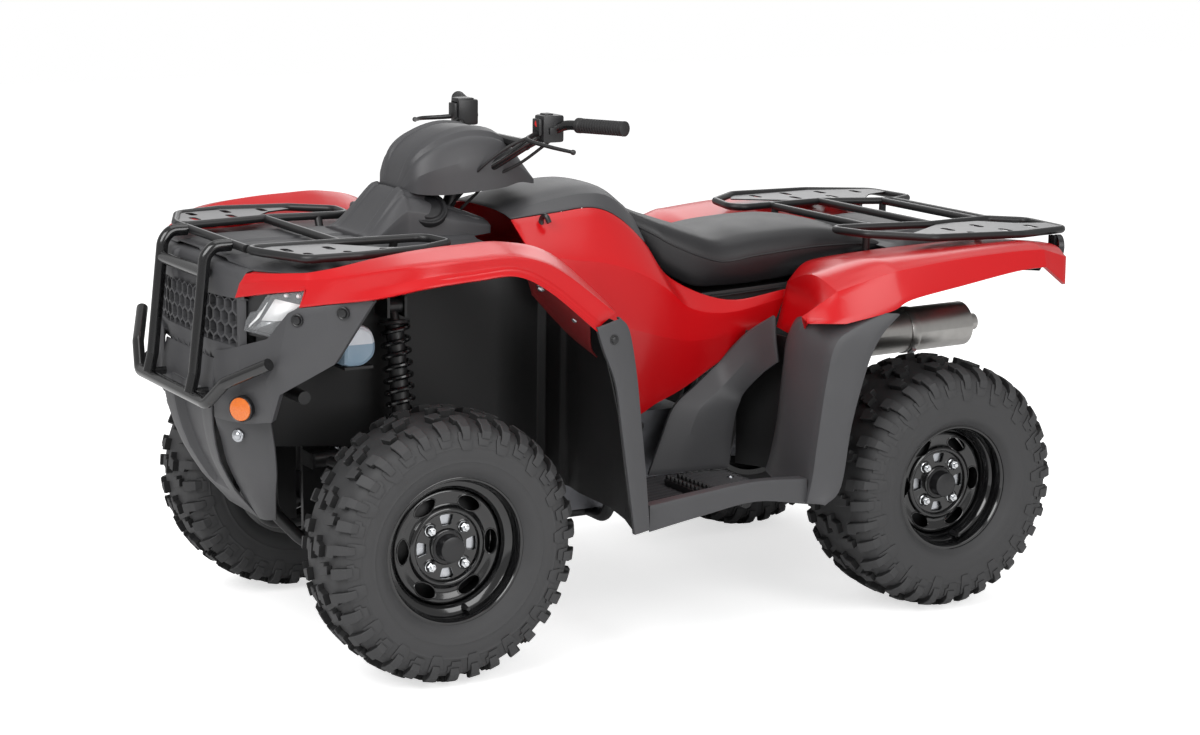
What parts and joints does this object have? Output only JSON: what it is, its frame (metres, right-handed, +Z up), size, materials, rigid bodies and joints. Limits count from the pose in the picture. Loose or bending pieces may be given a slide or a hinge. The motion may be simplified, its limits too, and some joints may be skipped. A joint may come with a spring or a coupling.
{
  "type": "quad bike",
  "caption": "Utility quad bike with steered front wheels, solid rear axle, straddle seat, moulded red body panels, footboards and tubular luggage racks.",
  "frame": {"origin": "centre of the bounding box, on the ground under the wheels", "axes": "+Z up, the front faces -Y, +X is the rider's left"},
  "size_m": [1.1258, 2.1342, 1.162],
  "materials": {
    "black_metal": "plain",
    "bottle_plastic": "plain",
    "clear_lens": "plain",
    "dark_plastic": "plain",
    "engine_metal": "plain",
    "grey_steel": "plain",
    "grip_rubber": "plain",
    "red_gloss": "plain",
    "reflector_plastic": "plain",
    "seat_cover": "plain",
    "silver_metal": "plain",
    "tyre_rubber": "plain"
  },
  "bodies": {
    "chassis": {"frame_left": "black_metal", "frame_right": "black_metal", "frame_cross": "black_metal", "engine": "engine_metal", "radiator": "engine_metal", "front_arms": "black_metal", "front_shocks": "black_metal", "rear_shock": "black_metal", "front_bumper": "dark_plastic", "brush_guard": "black_metal", "grille": "dark_plastic", "headlamps": "clear_lens", "side_shields": "dark_plastic", "front_fender_left": "red_gloss", "front_fender_right": "red_gloss", "front_cover": "dark_plastic", "front_rack": "black_metal", "dash_cover": "dark_plastic", "tank_cover": "dark_plastic", "side_panel_left": "red_gloss", "side_panel_right": "red_gloss", "seat": "seat_cover", "footwell_left": "dark_plastic", "footwell_right": "dark_plastic", "rear_fender": "red_gloss", "rear_apron": "dark_plastic", "tail_lamp": "reflector_plastic", "rear_rack": "black_metal", "reflectors": "reflector_plastic", "muffler": "silver_metal", "swingarm": "engine_metal", "tow_hitch": "black_metal", "coolant_bottle": "bottle_plastic", "foot_controls": "black_metal"},
    "steering": {"steering_column": "black_metal", "handlebar": "black_metal", "grips": "grip_rubber", "hand_controls": "dark_plastic", "handlebar_cover": "dark_plastic"},
    "knuckle_left_body": {"knuckle_left": "engine_metal"},
    "knuckle_right_body": {"knuckle_right": "engine_metal"},
    "tie_rod_left_body": {"tie_rod_left": "grey_steel"},
    "tie_rod_right_body": {"tie_rod_right": "grey_steel"},
    "front_wheel_left": {"tyre_front_left": "tyre_rubber", "wheel_front_left": "black_metal"},
    "front_wheel_right": {"tyre_front_right": "tyre_rubber", "wheel_front_right": "black_metal"},
    "rear_wheels": {"rear_axle": "grey_steel", "tyre_rear_left": "tyre_rubber", "wheel_rear_left": "black_metal", "tyre_rear_right": "tyre_rubber", "wheel_rear_right": "black_metal"}
  },
  "joints": [
    {"name": "steering_turn", "type": "hinge", "parent": "chassis", "child": "steering", "pos_m": [0, -0.637, 0.34], "axis": [0, 0.3746, 0.9272], "range_deg": [-38, 38]},
    {"name": "knuckle_left_turn", "type": "hinge", "parent": "chassis", "child": "knuckle_left_body", "pos_m": [0.35, -0.621, 0.292], "axis": [-0.1217, 0.0519, 0.9912], "range_deg": [-30.6, 30.6]},
    {"name": "tie_rod_left_turn", "type": "hinge", "parent": "knuckle_left_body", "child": "tie_rod_left_body", "pos_m": [0.32752, -0.51917, 0.32689], "axis": [-0.1217, 0.0519, 0.9912], "range_deg": [-30.6, 30.6]},
    {"name": "front_wheel_left_spin", "type": "hinge", "parent": "knuckle_left_body", "child": "front_wheel_left", "pos_m": [0.42, -0.621, 0.292], "axis": [1, 0, 0], "continuous": true},
    {"name": "knuckle_right_turn", "type": "hinge", "parent": "chassis", "child": "knuckle_right_body", "pos_m": [-0.35, -0.621, 0.292], "axis": [0.1217, 0.0519, 0.9912], "range_deg": [-30.6, 30.6]},
    {"name": "tie_rod_right_turn", "type": "hinge", "parent": "knuckle_right_body", "child": "tie_rod_right_body", "pos_m": [-0.32752, -0.51917, 0.32689], "axis": [0.1217, 0.0519, 0.9912], "range_deg": [-30.6, 30.6]},
    {"name": "front_wheel_right_spin", "type": "hinge", "parent": "knuckle_right_body", "child": "front_wheel_right", "pos_m": [-0.42, -0.621, 0.292], "axis": [1, 0, 0], "continuous": true},
    {"name": "rear_wheels_spin", "type": "hinge", "parent": "chassis", "child": "rear_wheels", "pos_m": [0, 0.647, 0.292], "axis": [1, 0, 0], "continuous": true}
  ],
  "couplings": [
    {"joint": "knuckle_left_turn", "follows": "steering_turn", "ratio": 0.8},
    {"joint": "tie_rod_left_turn", "follows": "steering_turn", "ratio": -0.8},
    {"joint": "knuckle_right_turn", "follows": "steering_turn", "ratio": 0.8},
    {"joint": "tie_rod_right_turn", "follows": "steering_turn", "ratio": -0.8}
  ]
}
